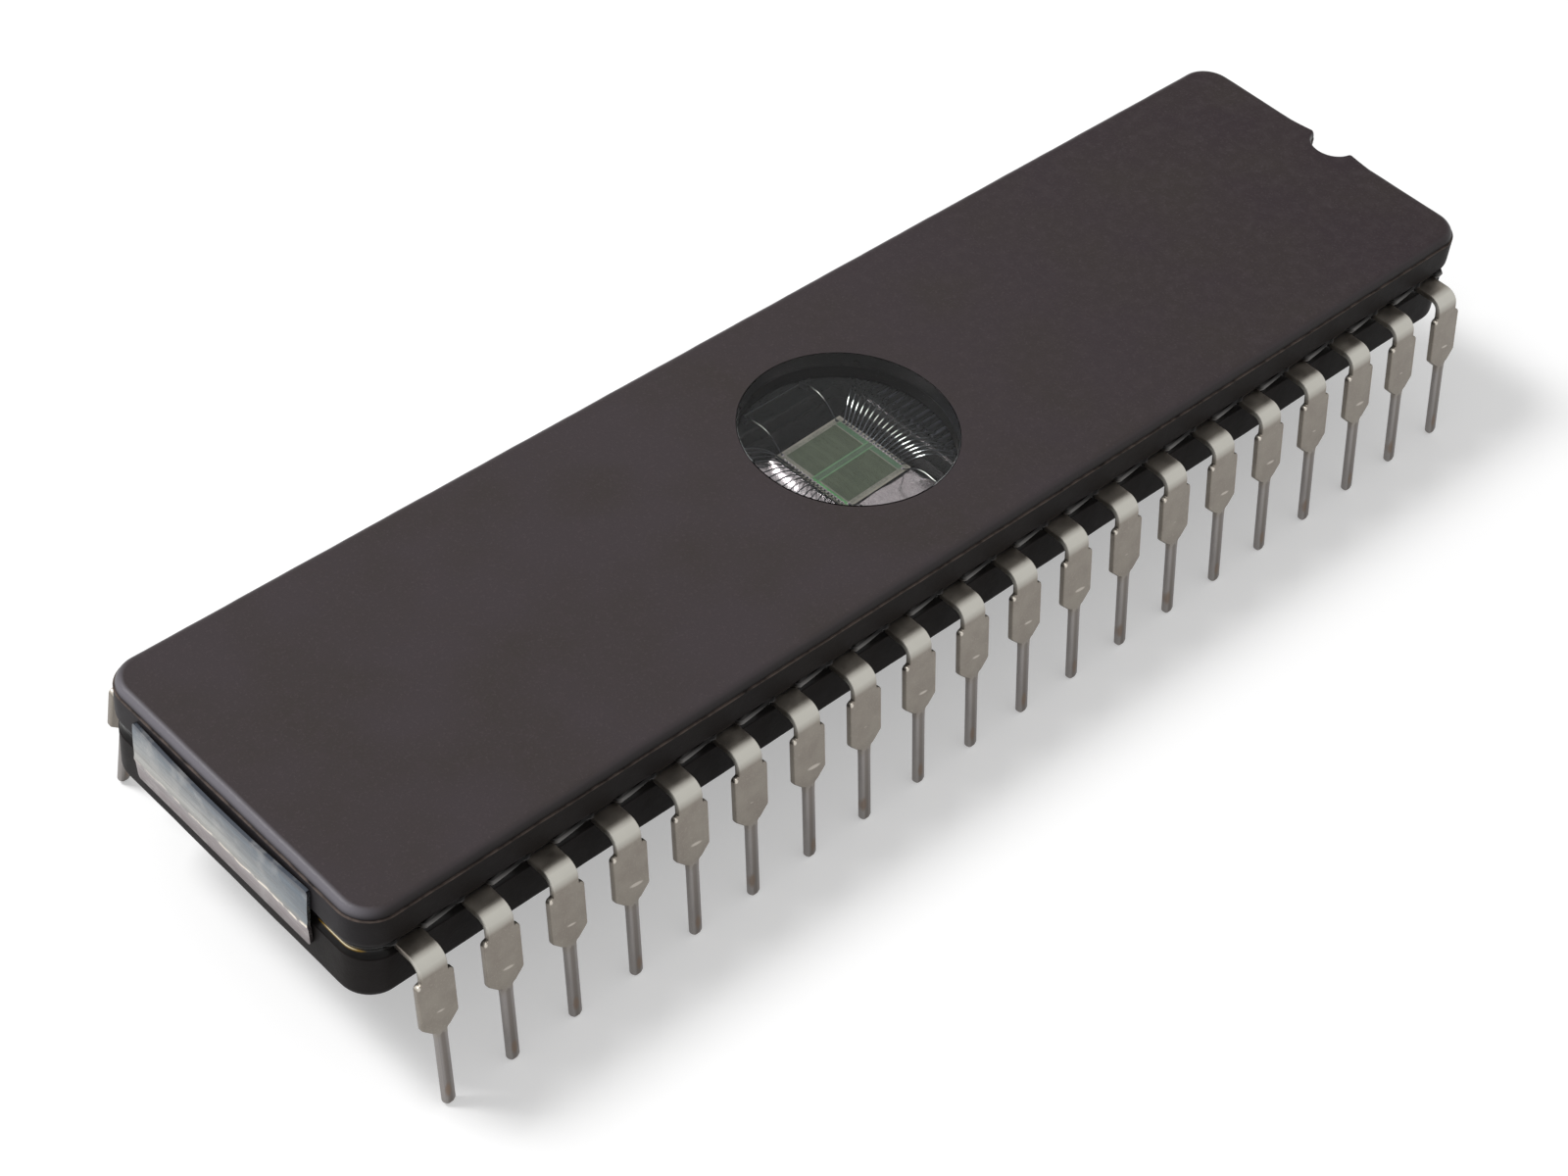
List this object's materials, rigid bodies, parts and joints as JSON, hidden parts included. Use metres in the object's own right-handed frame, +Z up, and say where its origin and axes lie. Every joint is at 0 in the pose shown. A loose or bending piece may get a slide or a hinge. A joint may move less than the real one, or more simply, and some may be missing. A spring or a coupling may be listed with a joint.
{
  "type": "windowed ceramic memory chip",
  "caption": "Erasable memory chip in a dark ceramic body with a round quartz window over the die, two rows of bent tinned leads, an index notch and an end plate",
  "frame": {"origin": "under the middle of the body, on the plane of the lead tips", "axes": "+X along the body to the notched end, +Y across the body, +Z up through the window"},
  "size_m": [0.0521, 0.017, 0.008],
  "materials": {
    "ceramic": "dark fired alumina, matte, with a fine grain",
    "quartz": "clear polished quartz",
    "sealing_glass": "black sealing glass, glossy where it shows",
    "tinned_alloy": "iron nickel alloy, dipped in solder, satin grey",
    "silicon": "passivated silicon with an olive green memory array",
    "silver_glass": "silver-filled die attach layer, reflective"
  },
  "bodies": {
    "root": {"lid": "ceramic", "base": "ceramic", "window": "quartz", "seal_glass": "sealing_glass", "die": "silicon", "die_attach": "silver_glass", "end_plate": "tinned_alloy", "lead_01": "tinned_alloy", "lead_02": "tinned_alloy", "lead_03": "tinned_alloy", "lead_04": "tinned_alloy", "lead_05": "tinned_alloy", "lead_06": "tinned_alloy", "lead_07": "tinned_alloy", "lead_08": "tinned_alloy", "lead_09": "tinned_alloy", "lead_10": "tinned_alloy", "lead_11": "tinned_alloy", "lead_12": "tinned_alloy", "lead_13": "tinned_alloy", "lead_14": "tinned_alloy", "lead_15": "tinned_alloy", "lead_16": "tinned_alloy", "lead_17": "tinned_alloy", "lead_18": "tinned_alloy", "lead_19": "tinned_alloy", "lead_20": "tinned_alloy", "lead_21": "tinned_alloy", "lead_22": "tinned_alloy", "lead_23": "tinned_alloy", "lead_24": "tinned_alloy", "lead_25": "tinned_alloy", "lead_26": "tinned_alloy", "lead_27": "tinned_alloy", "lead_28": "tinned_alloy", "lead_29": "tinned_alloy", "lead_30": "tinned_alloy", "lead_31": "tinned_alloy", "lead_32": "tinned_alloy", "lead_33": "tinned_alloy", "lead_34": "tinned_alloy", "lead_35": "tinned_alloy", "lead_36": "tinned_alloy", "lead_37": "tinned_alloy", "lead_38": "tinned_alloy", "lead_39": "tinned_alloy", "lead_40": "tinned_alloy"}
  },
  "joints": []
}
